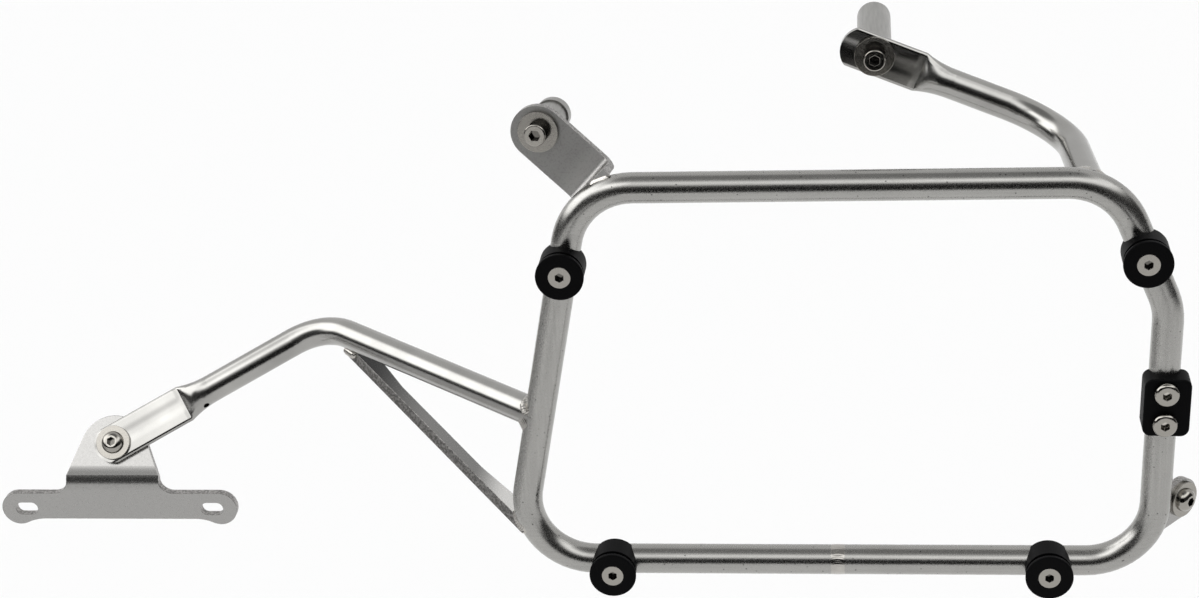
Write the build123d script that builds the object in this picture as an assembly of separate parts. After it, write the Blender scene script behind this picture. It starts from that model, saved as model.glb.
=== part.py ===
from build123d import *
import math
import os

# Pannier frame for the left side of a motorbike. All lengths in mm, all angles in degrees.
# X runs to the bike's rear, Y runs inboard, Z is up. Points are first worked out from the hoop's
# lower front corner, where the hoop's tube axis lies in the plane Y = 0. The finished pieces are
# then moved so that the origin is the seat of the rear upper bolt.

# Tube stock
tube_od = 18.0
tube_wall = 2.0
bend_radius = 40.0

# Hoop: corner points of the tube's axis, before bending
hoop_length = 381.9
hoop_height = 241.8
front_lean = 11.2
rear_lean = 1.2
rear_slant = 22.6
rear_slant_rise = 76.9

# Places along the hoop
puck_front_upper_drop = 46.4
puck_rear_upper_drop = 41.3
puck_front_lower_inset = 60.5
puck_rear_lower_inset = 61.4
latch_below_knee = 56.5
brace_root_height = 97.3
arm_root_angle = 17.5
lug_root_angle = 12.9

# Bent tubes: each run of the tube's axis from its root on the hoop to the knee's corner point,
# and from there to the bolt hole on the flattened end's middle plane
brace_knee_forward = 154.3
brace_knee_inboard = 122.0
brace_knee_rise = 5.8
brace_foot_forward = 135.5
brace_foot_outboard = 44.6
brace_foot_drop = 63.6
arm_knee_forward = 6.7
arm_knee_inboard = 95.0
arm_knee_rise = 1.4
arm_foot_forward = 112.6
arm_foot_rise = 46.8
flare_length = 20.0
flare_steps = 3
pinch_gap = 0.5
feather_trim = 1.5
paddle_width = 25.0
brace_paddle_reach = 52.1
brace_tip = 12.8
brace_tip_radius = 12.8
arm_paddle_reach = 29.0
arm_tip = 21.0
arm_tip_radius = 14.5
paddle_hole = 9.0
arm_slot_length = 16.2
drain_hole = 4.0
drain_into_flare = 7.6
drain_turn = 75.0

# Plate pieces
plate = 5.0
plate_hole = 8.5
plate_bend = 4.0
tab_width = 32.0
tab_off_centre = 0.9
tab_length = 41.5
tab_leg = 13.0
tab_yaw = 6.0
tab_pitch = 5.0
tab_turn = 42.0
tab_bolt_forward = 22.1
tab_bolt_inboard = 22.0
tab_bolt_rise = 27.0
lug_width = 25.0
lug_reach = 24.0
lug_swing = 45.0
lug_rise = 6.7
gusset_plate = 6.0
gusset_width = 10.8
gusset_hoop_flare = 8.0
gusset_hoop_flare_length = 36.0
gusset_brace_flare = 12.0
gusset_brace_flare_length = 42.0
gusset_curve = 40.0
gusset_hoop_angle = 13.4
gusset_hoop_stand_off = 2.7
gusset_brace_share = 0.84
gusset_brace_stand_off = 4.7
gusset_brace_outboard = 4.3
gusset_run_in = 9.0

# Front bracket
lug_top_radius = 22.0
lug_top_drop = 3.5
lug_base_width = 61.0
lug_flat = 20.5
lug_forward = 1.2
slot_spacing = 123.3
slots_rearward = 1.1
slot_width = 8.5
slot_length = 14.7
slot_drop = 17.1
ear_radius = 11.25
ear_reach = 16.4
waist_drop = 7.4
bracket_bend = 6.0
bracket_fillet = 9.0
waist_fillet = 28.0

# Pucks and latch block
puck_front = 22.0
puck_disc_d = 28.2
puck_disc = 3.0
puck_groove = 3.2
puck_neck_d = 23.0
puck_body_d = 27.2
puck_edge = 0.8
latch_width = 26.8
latch_tall = 36.0
latch_front = 15.5
latch_corner = 5.0
latch_edge = 1.2
latch_rearward = 0.9
latch_screw_spacing = 19.2

# Fasteners, all M8
thread_d = 8.0
thread_clearance = 0.1
bush_d = 12.0
low_head_d = 13.0
low_head = 5.0
button_head_d = 14.4
button_head = 4.4
button_flat_d = 7.6
button_rim = 0.6
cap_head_d = 13.0
cap_head = 8.0
cap_edge = 0.8
disc_head_d = 14.4
disc_head = 4.2
disc_edge = 2.0
socket_small = 5.0
socket_small_depth = 3.8
socket_large = 6.0
socket_large_depth = 4.0
upper_washer_d = 24.0
lower_washer_d = 22.0
washer = 2.0
washer_hole = 8.4
nut_across = 13.0
nut = 6.5
nut_thread_past = 2.0
bolt_past_front = 13.0
bolt_past_rear = 14.0
puck_screw_depth = 5.0
bolt_undercut = 2.0
bolt_undercut_d = 6.6
bolt_tip_edge = 1.0

# Spacers
front_spacer_d = 19.0
front_spacer = 36.0
front_collar_d = 21.0
front_collar = 7.0
rear_spacer_d = 20.6
rear_spacer = 73.0
spacer_hole = 8.6
spacer_edge = 0.6

# Derived sizes
same_place = 0.01
tube_r = tube_od / 2
bore_r = tube_r - tube_wall
paddle = 2 * tube_wall
thread_r = thread_d / 2
tapped_r = thread_r + thread_clearance
outboard = Vector(0, -1, 0)
inboard = Vector(0, 1, 0)
rearward = Vector(1, 0, 0)
upward = Vector(0, 0, 1)


def rad(angle):
    return math.radians(angle)


def in_hoop(x, z):
    return Vector(x, 0, z)


def rod(start, direction, radius, length):
    return Plane(origin=start, z_dir=direction) * Cylinder(
        radius, length, align=(Align.CENTER, Align.CENTER, Align.MIN)
    )


def drill(centre, direction, radius, reach):
    return rod(centre - direction * reach, direction, radius, 2 * reach)


def largest(shape):
    return shape.solids().sort_by(SortBy.VOLUME)[-1]


def bent(path, radius):
    runs = []
    for edge in path.edges():
        start = edge @ 0
        heading = edge % 0
        across = inboard.cross(heading)
        if across.length < same_place:
            across = rearward
        section = Plane(origin=start, x_dir=across, z_dir=heading) * Circle(radius)
        if edge.geom_type == GeomType.CIRCLE:
            spoke = start - edge.arc_center
            turn = math.degrees(edge.length / edge.radius)
            runs.append(revolve(section, Axis(edge.arc_center, spoke.cross(heading)), turn))
        else:
            runs.append(extrude(section, edge.length))
    return runs[0].fuse(*runs[1:])


# Hoop axis: corner points in order, clockwise seen from outboard
front_slope = math.tan(rad(front_lean))
rear_slope = math.tan(rad(rear_lean))
slant_slope = math.tan(rad(rear_slant))
corner_front_lower = in_hoop(0, 0)
corner_front_upper = in_hoop(hoop_height * front_slope, hoop_height)
rear_knee_height = hoop_height - rear_slant_rise
knee_x = hoop_length + rear_knee_height * rear_slope
corner_rear_knee = in_hoop(knee_x, rear_knee_height)
corner_rear_upper = in_hoop(knee_x - rear_slant_rise * slant_slope, hoop_height)
corner_rear_lower = in_hoop(hoop_length, 0)
hoop_start = (corner_front_lower + corner_rear_lower) / 2
hoop_path = FilletPolyline(
    hoop_start,
    corner_front_lower,
    corner_front_upper,
    corner_rear_upper,
    corner_rear_knee,
    corner_rear_lower,
    hoop_start,
    radius=(0, bend_radius, bend_radius, bend_radius, bend_radius, bend_radius),
)
hoop_filled = bent(hoop_path, tube_r)
hoop_bore = bent(hoop_path, bore_r)

# Bend centres used by the pieces that are welded at a corner
upper_turn = 90 - rear_slant
upper_tangent = bend_radius * math.tan(rad(upper_turn / 2))
rear_upper_centre = corner_rear_upper - rearward * upper_tangent - upward * bend_radius
lower_tangent = bend_radius * math.tan(rad((90 - rear_lean) / 2))
rear_lower_centre = corner_rear_lower - rearward * lower_tangent + upward * bend_radius
front_tangent = bend_radius * math.tan(rad((90 + front_lean) / 2))
front_lower_centre = corner_front_lower + rearward * front_tangent + upward * bend_radius

# Screw places on the hoop, each a point on the tube's axis
puck_places = {
    "puck_front_upper": corner_front_upper - Vector(front_slope, 0, 1) * puck_front_upper_drop,
    "puck_rear_upper": corner_rear_upper + Vector(slant_slope, 0, -1) * puck_rear_upper_drop,
    "puck_front_lower": corner_front_lower + rearward * puck_front_lower_inset,
    "puck_rear_lower": corner_rear_lower - rearward * puck_rear_lower_inset,
}
latch_centre = corner_rear_knee - Vector(rear_slope, 0, 1) * latch_below_knee
latch_along = Vector(rear_slope, 0, 1).normalized()
latch_places = [latch_centre + latch_along * (side * latch_screw_spacing / 2) for side in (1, -1)]
screw_places = list(puck_places.values()) + latch_places

# Hoop and its threaded bushes, which cross the tube and end flush with both sides
bush_blanks = [drill(place, outboard, bush_d / 2, tube_od) for place in screw_places]
hoop = hoop_filled - hoop_bore - bush_blanks
bushes = [
    largest((hoop_filled & blank) - drill(place, outboard, tapped_r, tube_od))
    for place, blank in zip(screw_places, bush_blanks)
]


# Screws are drawn with the seat under the head at z = 0 and the head on the +z side
def hexagon(across, depth, top):
    blank = extrude(RegularPolygon(across / 2, 6, major_radius=False), depth)
    return Pos(0, 0, top - depth) * blank


def flat_head(diameter, height, edge, across, depth):
    head = Cylinder(diameter / 2, height, align=(Align.CENTER, Align.CENTER, Align.MIN))
    if edge > 0:
        head = fillet(head.edges().group_by(Axis.Z)[-1], edge)
    return head - hexagon(across, depth, height)


def round_head(diameter, height):
    outer = diameter / 2
    flat = button_flat_d / 2
    crown = (outer + flat) / 2 + (outer - flat) / 7
    shoulder = (button_rim + height) / 2 + (height - button_rim) / 7
    side = Polyline((0, 0), (outer, 0), (outer, button_rim))
    dome = ThreePointArc((outer, button_rim), (crown, shoulder), (flat, height))
    top = Polyline((flat, height), (0, height), (0, 0))
    profile = Plane.XZ * make_face(side + dome + top)
    return revolve(profile, Axis.Z) - hexagon(socket_small, socket_small_depth, height)


def screw(head, length, seat, direction):
    shank = Pos(0, 0, -length) * Cylinder(
        thread_r, length, align=(Align.CENTER, Align.CENTER, Align.MIN)
    )
    return Plane(origin=seat, z_dir=direction) * (head + shank)


# The long bolts have an undercut where the free end starts, just inside the spacer
def long_bolt(length, free, seat, direction):
    shank = Pos(0, 0, -length) * Cylinder(
        thread_r, length, align=(Align.CENTER, Align.CENTER, Align.MIN)
    )
    shank = chamfer(shank.edges().group_by(Axis.Z)[0], bolt_tip_edge)
    ring = Cylinder(thread_d, bolt_undercut, align=(Align.CENTER, Align.CENTER, Align.MIN))
    ring -= Cylinder(bolt_undercut_d / 2, 3 * bolt_undercut)
    bolt = cap_screw_head + shank - Pos(0, 0, free - length) * ring
    return Plane(origin=seat, z_dir=direction) * bolt


low_screw_head = flat_head(low_head_d, low_head, 0, socket_small, socket_small_depth)
cap_screw_head = flat_head(cap_head_d, cap_head, cap_edge, socket_large, socket_large_depth)
disc_screw_head = flat_head(disc_head_d, disc_head, disc_edge, socket_small, socket_small_depth)
button_screw_head = round_head(button_head_d, button_head)


def washer_on(seat, direction, diameter):
    hole = drill(seat, direction, washer_hole / 2, 2 * washer)
    return rod(seat, direction, diameter / 2, washer) - hole


def nut_on(seat, direction):
    blank = extrude(RegularPolygon(nut_across / 2, 6, major_radius=False), nut)
    hole = Cylinder(tapped_r, 3 * nut)
    return Plane(origin=seat, z_dir=direction) * (blank - hole)


# Pucks: a spool that saddles the tube, with a wide disc in front of a groove
def puck_at(place):
    disc_back = puck_front - puck_disc
    groove_back = disc_back - puck_groove
    pocket_floor = puck_front - low_head
    pocket_r = low_head_d / 2 + thread_clearance
    body = Cylinder(puck_body_d / 2, groove_back, align=(Align.CENTER, Align.CENTER, Align.MIN))
    neck = Cylinder(puck_neck_d / 2, puck_front, align=(Align.CENTER, Align.CENTER, Align.MIN))
    disc = Pos(0, 0, disc_back) * Cylinder(
        puck_disc_d / 2, puck_disc, align=(Align.CENTER, Align.CENTER, Align.MIN)
    )
    disc = fillet(disc.edges().filter_by(GeomType.CIRCLE), puck_edge)
    spool = body + neck + disc
    spool -= Cylinder(tapped_r, 3 * puck_front)
    spool -= Pos(0, 0, pocket_floor) * Cylinder(
        pocket_r, low_head * 2, align=(Align.CENTER, Align.CENTER, Align.MIN)
    )
    return largest(Plane(origin=place, z_dir=outboard) * spool - hoop_filled)


pucks = {name: puck_at(place) for name, place in puck_places.items()}
puck_seat = outboard * (puck_front - low_head)
puck_screw_length = puck_front - low_head + puck_screw_depth
puck_screws = [
    screw(low_screw_head, puck_screw_length, place + puck_seat, outboard)
    for place in puck_places.values()
]

# Latch block, turned with the tube it sits on
latch_plane = Plane(
    origin=latch_centre + rearward * latch_rearward, x_dir=latch_along, z_dir=outboard
)
latch_blank = extrude(RectangleRounded(latch_tall, latch_width, latch_corner), latch_front)
latch_blank = fillet(latch_blank.edges().group_by(Axis.Z)[-1], latch_edge)
latch_block = latch_plane * latch_blank - hoop_filled
latch_block = largest(
    latch_block - [drill(place, outboard, tapped_r, 2 * latch_front) for place in latch_places]
)
latch_screws = [
    screw(
        disc_screw_head,
        latch_front + puck_screw_depth,
        place + outboard * latch_front,
        outboard,
    )
    for place in latch_places
]


# Tube ends pressed flat: the round section widens through ovals and drops steeply to a crimp,
# where a flat paddle with folded long edges begins
def oval_of_four(side, top):
    return Wire(
        [
            EllipticalCenterArc((0, 0), side, top, start_angle=turn - 45, arc_size=90)
            for turn in (0, 90, 180, 270)
        ]
    )


def slot_of_four(width, height):
    top = height / 2
    side = width / 2
    corner = side - top
    return Wire(
        [
            ThreePointArc((corner, -top), (side, 0), (corner, top)),
            Line((corner, top), (-corner, top)),
            ThreePointArc((-corner, top), (-side, 0), (-corner, -top)),
            Line((-corner, -top), (corner, -top)),
        ]
    )


def flare(start, radius, width, height):
    sections = []
    for step in range(flare_steps):
        share = step / flare_steps
        side = radius + (width / 2 - radius) * share**2
        top = radius + (height / 2 - radius) * share**3
        sections.append(start.offset(flare_length * share) * oval_of_four(side, top))
    sections.append(start.offset(flare_length) * slot_of_four(width, height))
    return Solid.make_loft(sections)


def flat_ended(root, knee, foot, normal, reach, tip, tip_radius, hole):
    run = (foot - knee).normalized()
    pinch = foot - run * reach
    flare_start = pinch - run * flare_length
    path = FilletPolyline(root, knee, flare_start, radius=bend_radius)
    across = normal.cross(run)
    mouth = Plane(origin=flare_start, x_dir=across, z_dir=run)
    skin = bent(path, tube_r) + flare(mouth, tube_r, paddle_width, paddle)
    core = bent(path, bore_r) + flare(mouth, bore_r, paddle_width - paddle, pinch_gap)
    strip = Pos((tip - reach) / 2, 0) * Rectangle(reach + tip, paddle_width)
    rounded = Pos(tip - tip_radius, 0) * Circle(tip_radius)
    squared = Pos((tip - tip_radius - reach) / 2, 0) * Rectangle(
        reach + tip - tip_radius, paddle_width
    )
    outline = (strip & rounded) + squared
    cutter = extrude(Plane(origin=foot, x_dir=run, z_dir=normal) * (outline - hole), paddle, both=True)
    folded = mouth.offset(flare_length) * SlotOverall(paddle_width, paddle)
    blade = extrude(folded, reach + tip) & cutter
    return skin - core + blade - hoop_filled


brace_root = in_hoop(brace_root_height * front_slope, brace_root_height)
brace_first_run = Vector(-brace_knee_forward, brace_knee_inboard, brace_knee_rise)
brace_second_run = Vector(-brace_foot_forward, -brace_foot_outboard, -brace_foot_drop)
brace_knee = brace_root + brace_first_run
brace_foot = brace_knee + brace_second_run
brace_run = brace_second_run.normalized()
bracket_face = brace_run.cross(rearward).normalized()
brace_tube = flat_ended(
    brace_root,
    brace_knee,
    brace_foot,
    bracket_face,
    brace_paddle_reach,
    brace_tip,
    brace_tip_radius,
    Circle(paddle_hole / 2),
)
brace_side = bracket_face.cross(brace_run)
drain_way = bracket_face * math.cos(rad(drain_turn)) + brace_side * math.sin(rad(drain_turn))
drain_back = brace_paddle_reach + flare_length - drain_into_flare
drain_start = brace_foot - brace_run * drain_back
brace_tube = largest(brace_tube - rod(drain_start, drain_way, drain_hole / 2, tube_od))

arm_root = rear_upper_centre + Vector(
    bend_radius * math.sin(rad(arm_root_angle)), 0, bend_radius * math.cos(rad(arm_root_angle))
)
arm_knee = arm_root + Vector(-arm_knee_forward, arm_knee_inboard, arm_knee_rise)
arm_foot = arm_knee + Vector(-arm_foot_forward, 0, arm_foot_rise)
rear_upper_arm = largest(
    flat_ended(
        arm_root + (arm_knee - arm_root).normalized() * feather_trim,
        arm_knee,
        arm_foot,
        outboard,
        arm_paddle_reach,
        arm_tip,
        arm_tip_radius,
        Pos((arm_slot_length - paddle_hole) / 2, 0) * SlotOverall(arm_slot_length, paddle_hole),
    )
)

# Front upper tab: a flat with a round end, folded to a short leg that meets the hoop
tab_face = Vector(
    -math.sin(rad(tab_yaw)) * math.cos(rad(tab_pitch)),
    -math.cos(rad(tab_yaw)) * math.cos(rad(tab_pitch)),
    math.sin(rad(tab_pitch)),
)
tab_bolt = corner_front_upper + Vector(-tab_bolt_forward, tab_bolt_inboard, tab_bolt_rise)
tab_level = upward.cross(tab_face).normalized()
tab_rise = tab_face.cross(tab_level)
tab_along = tab_rise * math.cos(rad(90 - tab_turn)) - tab_level * math.sin(rad(90 - tab_turn))
tab_across = tab_face.cross(tab_along)
tab_flat_plane = Plane(
    origin=tab_bolt + tab_across * tab_off_centre, x_dir=tab_along, z_dir=tab_face
)
tab_flat = tab_length - plate_bend
tab_outline = Circle(tab_width / 2) + Pos(-tab_flat / 2, 0) * Rectangle(tab_flat, tab_width)
tab_hole = Pos(0, -tab_off_centre) * Circle(plate_hole / 2)
tab_blade = extrude(tab_outline - tab_hole, -plate)
tab_corner = Pos(-tab_flat, 0, plate_bend)
tab_profile = Plane.YZ * (Pos(0, -plate_bend - plate / 2) * Rectangle(tab_width, plate))
tab_curve = revolve(tab_profile, Axis.Y, 90)
tab_leg_blank = Pos(-plate_bend - plate / 2, 0, tab_leg / 2) * Box(plate, tab_width, tab_leg)
tab_folded = tab_blade + tab_corner * (tab_curve + tab_leg_blank)
front_upper_tab = largest(tab_flat_plane * tab_folded - hoop_filled)

# Rear lug: a flat with a round end, standing off the lower rear bend
lug_root = rear_lower_centre + Vector(
    bend_radius * math.cos(rad(lug_root_angle)), 0, -bend_radius * math.sin(rad(lug_root_angle))
)
lug_level = Vector(math.cos(rad(lug_swing)), math.sin(rad(lug_swing)), 0)
lug_along = lug_level * math.cos(rad(lug_rise)) + upward * math.sin(rad(lug_rise))
lug_face = Vector(math.sin(rad(lug_swing)), -math.cos(rad(lug_swing)), 0)
lug_centre = lug_root + lug_along * lug_reach
lug_plane = Plane(origin=lug_centre, x_dir=lug_along, z_dir=lug_face)
lug_outline = Circle(lug_width / 2) + Pos(-lug_reach / 2, 0) * Rectangle(lug_reach, lug_width)
lug_blank = extrude(lug_outline - Circle(plate_hole / 2), plate / 2, both=True)
rear_lug = lug_plane * lug_blank - hoop_filled
rear_lug = rear_lug.solids().sort_by_distance(lug_centre)[0]

# Gusset: a strip in a plane that holds the Y direction, widened at both ends on its inboard side
gusset_hoop_way = Vector(-math.cos(rad(gusset_hoop_angle)), 0, -math.sin(rad(gusset_hoop_angle)))
gusset_hoop_radius = bend_radius + tube_r + gusset_hoop_stand_off
gusset_hoop_end = front_lower_centre + gusset_hoop_way * gusset_hoop_radius
gusset_drop = upward * (tube_r + gusset_brace_stand_off)
gusset_brace_axis = brace_root + brace_first_run * gusset_brace_share
gusset_brace_end = gusset_brace_axis - gusset_drop + outboard * gusset_brace_outboard
gusset_span = gusset_brace_end - gusset_hoop_end
gusset_level = Vector(gusset_span.X, 0, gusset_span.Z)
gusset_along = gusset_level.normalized()
gusset_normal = gusset_along.cross(inboard)
gusset_plane = Plane(origin=gusset_hoop_end, x_dir=gusset_along, z_dir=gusset_normal)
gusset_slope = gusset_span.Y / gusset_level.length
gusset_low = -gusset_run_in
gusset_high = gusset_level.length + gusset_run_in
gusset_deep = gusset_width * math.hypot(1, gusset_slope)
gusset_flat_low = gusset_low + gusset_hoop_flare_length
gusset_flat_high = gusset_high - gusset_brace_flare_length
gusset_front = Polyline(
    (gusset_low, gusset_low * gusset_slope + gusset_deep + gusset_hoop_flare),
    (gusset_low, gusset_low * gusset_slope),
    (gusset_high, gusset_high * gusset_slope),
    (gusset_high, gusset_high * gusset_slope + gusset_deep + gusset_brace_flare),
)
gusset_back = FilletPolyline(
    gusset_front @ 1,
    (gusset_flat_high, gusset_flat_high * gusset_slope + gusset_deep),
    (gusset_flat_low, gusset_flat_low * gusset_slope + gusset_deep),
    gusset_front @ 0,
    radius=gusset_curve,
)
gusset_strip = make_face(gusset_front.edges() + gusset_back.edges())
gusset_blank = gusset_plane * extrude(gusset_strip, gusset_plate / 2, both=True)
brace_path = FilletPolyline(brace_root, brace_knee, brace_foot, radius=bend_radius)
brace_filled = bent(brace_path, tube_r)
gusset = gusset_blank - hoop_filled - brace_filled
gusset_middle = (gusset_hoop_end + gusset_brace_end) / 2
gusset = gusset.solids().sort_by_distance(gusset_middle)[0]

# Front bracket: a slotted flange that faces outboard, and a lug bent back to meet the brace
lean = math.degrees(math.atan2(bracket_face.Z, -bracket_face.Y))
lug_up = rearward.cross(bracket_face) * -1
bend_outer = bracket_bend + plate
bend_axis = brace_foot - bracket_face * (paddle / 2 + bend_outer) - lug_up * lug_flat
bracket_lug_plane = Plane(
    origin=brace_foot - bracket_face * (paddle / 2), x_dir=rearward, z_dir=bracket_face
)
lug_round = Pos(0, -lug_top_drop) * Circle(lug_top_radius)
lug_base = Line((-lug_base_width / 2, -lug_flat), (lug_base_width / 2, -lug_flat))
lug_hull = make_hull([lug_round.edge(), lug_base])
lug_shape = lug_hull & Pos(0, lug_base_width / 2 - lug_flat) * Rectangle(
    lug_base_width, lug_base_width
)
lug_shape = Pos(-lug_forward, 0) * lug_shape - Circle(plate_hole / 2)
bracket_lug = bracket_lug_plane * extrude(lug_shape, -plate)

flange_face = bend_axis + outboard * bend_outer
flange_plane = Plane(origin=flange_face, x_dir=rearward, z_dir=outboard)
ear_centre = slot_spacing / 2 + ear_reach - ear_radius
bar_top = ear_radius - slot_drop
bar_bottom = -slot_drop - waist_drop
bar_middle = (bar_top + bar_bottom) / 2
bar = Pos(slots_rearward, bar_middle) * Rectangle(2 * ear_centre, bar_top - bar_bottom)
stem_width = lug_base_width + 2 * bracket_fillet
stem = Pos(-lug_forward, bar_bottom / 2) * Rectangle(stem_width, -bar_bottom)
ears = [
    Pos(slots_rearward + side * ear_centre, -slot_drop) * Circle(ear_radius) for side in (1, -1)
]
flange_shape = bar + stem + ears
slots = [
    Pos(slots_rearward + side * slot_spacing / 2, -slot_drop) * SlotOverall(slot_length, slot_width)
    for side in (1, -1)
]
waist_corners = [
    corner for corner in flange_shape.vertices() if abs(corner.Y - bar_bottom) < same_place
]
flange_shape = fillet(waist_corners, waist_fillet)
flange = flange_plane * extrude(flange_shape - slots, -plate)

bend_section = Plane(origin=bend_axis, x_dir=rearward, z_dir=upward) * (
    Pos(-lug_forward, -bracket_bend - plate / 2) * Rectangle(stem_width, plate)
)
bracket_fold = revolve(bend_section, Axis(bend_axis, rearward), -lean)

# The rounded inner corners run from the flange's bar up into the bend
corner_round = Circle(bracket_fillet) + Pos(0, bend_outer) * Rectangle(2 * bracket_fillet, 2 * bend_outer)
corner_cuts = [
    Pos(side * stem_width / 2 - lug_forward, bar_top + bracket_fillet) * corner_round
    for side in (1, -1)
]
corner_ways = [extrude(flange_plane * cut, 2 * bend_outer, both=True) for cut in corner_cuts]
bracket_foot = flange + bracket_fold - corner_ways
front_bracket = largest(bracket_lug + bracket_foot)

# Bolts, washers, nuts and spacers
tab_bolt_seat = tab_bolt + tab_face * washer
front_bolt_length = washer + plate + front_spacer + bolt_past_front
front_upper_bolt = long_bolt(front_bolt_length, bolt_past_front, tab_bolt_seat, tab_face)
arm_seat = arm_foot + outboard * (paddle / 2)
arm_bolt_seat = arm_seat + outboard * washer
rear_bolt_length = washer + paddle + rear_spacer + bolt_past_rear
rear_upper_bolt = long_bolt(rear_bolt_length, bolt_past_rear, arm_bolt_seat, outboard)
bracket_seat = brace_foot + bracket_face * (paddle / 2)
bracket_bolt_length = washer + paddle + plate + nut + nut_thread_past
bracket_bolt = screw(
    button_screw_head, bracket_bolt_length, bracket_seat + bracket_face * washer, bracket_face
)
lug_seat = lug_centre + lug_face * (plate / 2)
lug_screw_length = washer + plate + nut + nut_thread_past
lug_screw = screw(button_screw_head, lug_screw_length, lug_seat + lug_face * washer, lug_face)
upper_washers = [
    washer_on(tab_bolt, tab_face, upper_washer_d),
    washer_on(arm_seat, outboard, upper_washer_d),
]
lower_washers = [
    washer_on(bracket_seat, bracket_face, lower_washer_d),
    washer_on(lug_seat, lug_face, lower_washer_d),
]
nuts = [
    nut_on(bracket_seat - bracket_face * (paddle + plate), bracket_face * -1),
    nut_on(lug_seat - lug_face * plate, lug_face * -1),
]

tab_back = tab_bolt - tab_face * plate
front_upper_spacer = rod(tab_back, tab_face * -1, front_spacer_d / 2, front_spacer)
front_upper_spacer += rod(
    tab_back - tab_face * (front_spacer - front_collar),
    tab_face * -1,
    front_collar_d / 2,
    front_collar,
)
front_upper_spacer -= drill(tab_back, tab_face, spacer_hole / 2, 2 * front_spacer)
arm_back = arm_foot + inboard * (paddle / 2)
rear_spacer_blank = rod(arm_back, inboard, rear_spacer_d / 2, rear_spacer)
rear_spacer_blank = chamfer(
    rear_spacer_blank.edges().filter_by(GeomType.CIRCLE), spacer_edge
)
rear_upper_spacer = rear_spacer_blank - drill(arm_back, inboard, spacer_hole / 2, 2 * rear_spacer)

# The origin is where the rear upper bolt leaves its spacer
origin = arm_back + inboard * rear_spacer

pieces = {
    "hoop": hoop,
    "threaded_bushes": bushes,
    "brace_tube": brace_tube,
    "brace_gusset": gusset,
    "rear_upper_arm": rear_upper_arm,
    "front_upper_tab": front_upper_tab,
    "rear_lug": rear_lug,
    "front_bracket": front_bracket,
    "puck_screws": puck_screws,
    "latch_block": latch_block,
    "latch_screws": latch_screws,
    "front_upper_bolt": front_upper_bolt,
    "rear_upper_bolt": rear_upper_bolt,
    "bracket_bolt": bracket_bolt,
    "lug_screw": lug_screw,
    "upper_washers": upper_washers,
    "lower_washers": lower_washers,
    "nuts": nuts,
    "front_upper_spacer": front_upper_spacer,
    "rear_upper_spacer": rear_upper_spacer,
}
pieces.update(pucks)

os.makedirs("parts", exist_ok=True)
for name, piece in pieces.items():
    members = piece if isinstance(piece, list) else [piece]
    solids = [Pos(-origin) * solid for member in members for solid in member.solids()]
    shape = solids[0] if len(solids) == 1 else Compound(children=solids)
    shape.label = name
    export_step(shape, f"parts/{name}.step")
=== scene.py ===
"""Looks for a pannier side rack in a white studio.

Polished stainless tubes, welded plates, bolts, turned spacers and black mouldings.
Lengths are metres in the part's own frame: +X to the rear, +Y inboard, +Z up.
"""

import math

import bmesh
import bpy
from mathutils import Matrix, Vector, noise
from mathutils.bvhtree import BVHTree


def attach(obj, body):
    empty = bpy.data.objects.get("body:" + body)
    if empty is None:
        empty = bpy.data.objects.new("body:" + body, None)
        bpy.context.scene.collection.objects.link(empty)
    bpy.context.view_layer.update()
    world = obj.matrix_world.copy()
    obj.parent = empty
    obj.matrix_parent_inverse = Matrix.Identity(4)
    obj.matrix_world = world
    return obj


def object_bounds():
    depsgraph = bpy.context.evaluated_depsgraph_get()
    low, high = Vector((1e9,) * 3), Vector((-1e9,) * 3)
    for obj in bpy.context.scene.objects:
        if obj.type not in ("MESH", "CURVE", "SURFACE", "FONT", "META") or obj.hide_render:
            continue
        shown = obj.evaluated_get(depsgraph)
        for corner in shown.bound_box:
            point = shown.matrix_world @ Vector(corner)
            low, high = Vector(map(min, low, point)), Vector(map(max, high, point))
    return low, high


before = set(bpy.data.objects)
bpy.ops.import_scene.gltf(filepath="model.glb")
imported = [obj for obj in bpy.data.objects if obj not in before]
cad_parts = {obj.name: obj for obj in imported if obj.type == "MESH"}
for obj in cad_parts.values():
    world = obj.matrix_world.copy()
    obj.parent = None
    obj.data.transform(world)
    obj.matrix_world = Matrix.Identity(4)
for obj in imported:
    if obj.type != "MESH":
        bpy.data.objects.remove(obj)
cad_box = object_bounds()

bl_info = {
    "name": "Pannier side rack",
    "version": (1, 0, 0),
    "blender": (4, 5, 0),
    "location": "View3D > Sidebar > Side rack",
    "description": "Dresses the side rack with its finishes and welds and sets the studio",
    "category": "Object",
}

MM = 0.001

# Places on the rack, in millimetres from the rear upper fixing
HOOP_CORNER = Vector((-219.395, -170.0, -288.149))
BRACE_ROOT = HOOP_CORNER + Vector((19.27, 0.0, 97.3))
BRACE_KNEE = HOOP_CORNER + Vector((-135.03, 122.0, 103.1))
BRACE_FOOT = HOOP_CORNER + Vector((-270.53, 77.4, 39.5))
ARM_ROOT = HOOP_CORNER + Vector((338.7, 0.0, 239.95))
ARM_KNEE = HOOP_CORNER + Vector((332.0, 95.0, 241.35))
ARM_FOOT = HOOP_CORNER + Vector((219.4, 95.0, 288.15))
BUTT_WELD = HOOP_CORNER + Vector((195.6, 0.0, 0.0))

# Heights in millimetres between which the hoop's legs stand straight, and how softly each ends
HOOP_LEGS = (-246.0, -92.0)
LEG_FADE = 15.0

# Pressed tube ends, in millimetres: how far each flat runs from its bolt towards the tube, over
# what length it fades into the tube, and half the width and the depth of the trough along it
BRACE_REACH = 52.0
ARM_REACH = 28.0
FLAT_FADE = 4.0
TROUGH_HALF = 7.0
TROUGH_DEPTH = 0.16

# The bracket's fold, in millimetres: its height, how far the press rounded it each way and how
# deep, and how far the lug runs on above it and leans back there
BRACKET_FOLD = (-269.6, 8.0, 0.55, 42.0, 1.5)

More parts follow.
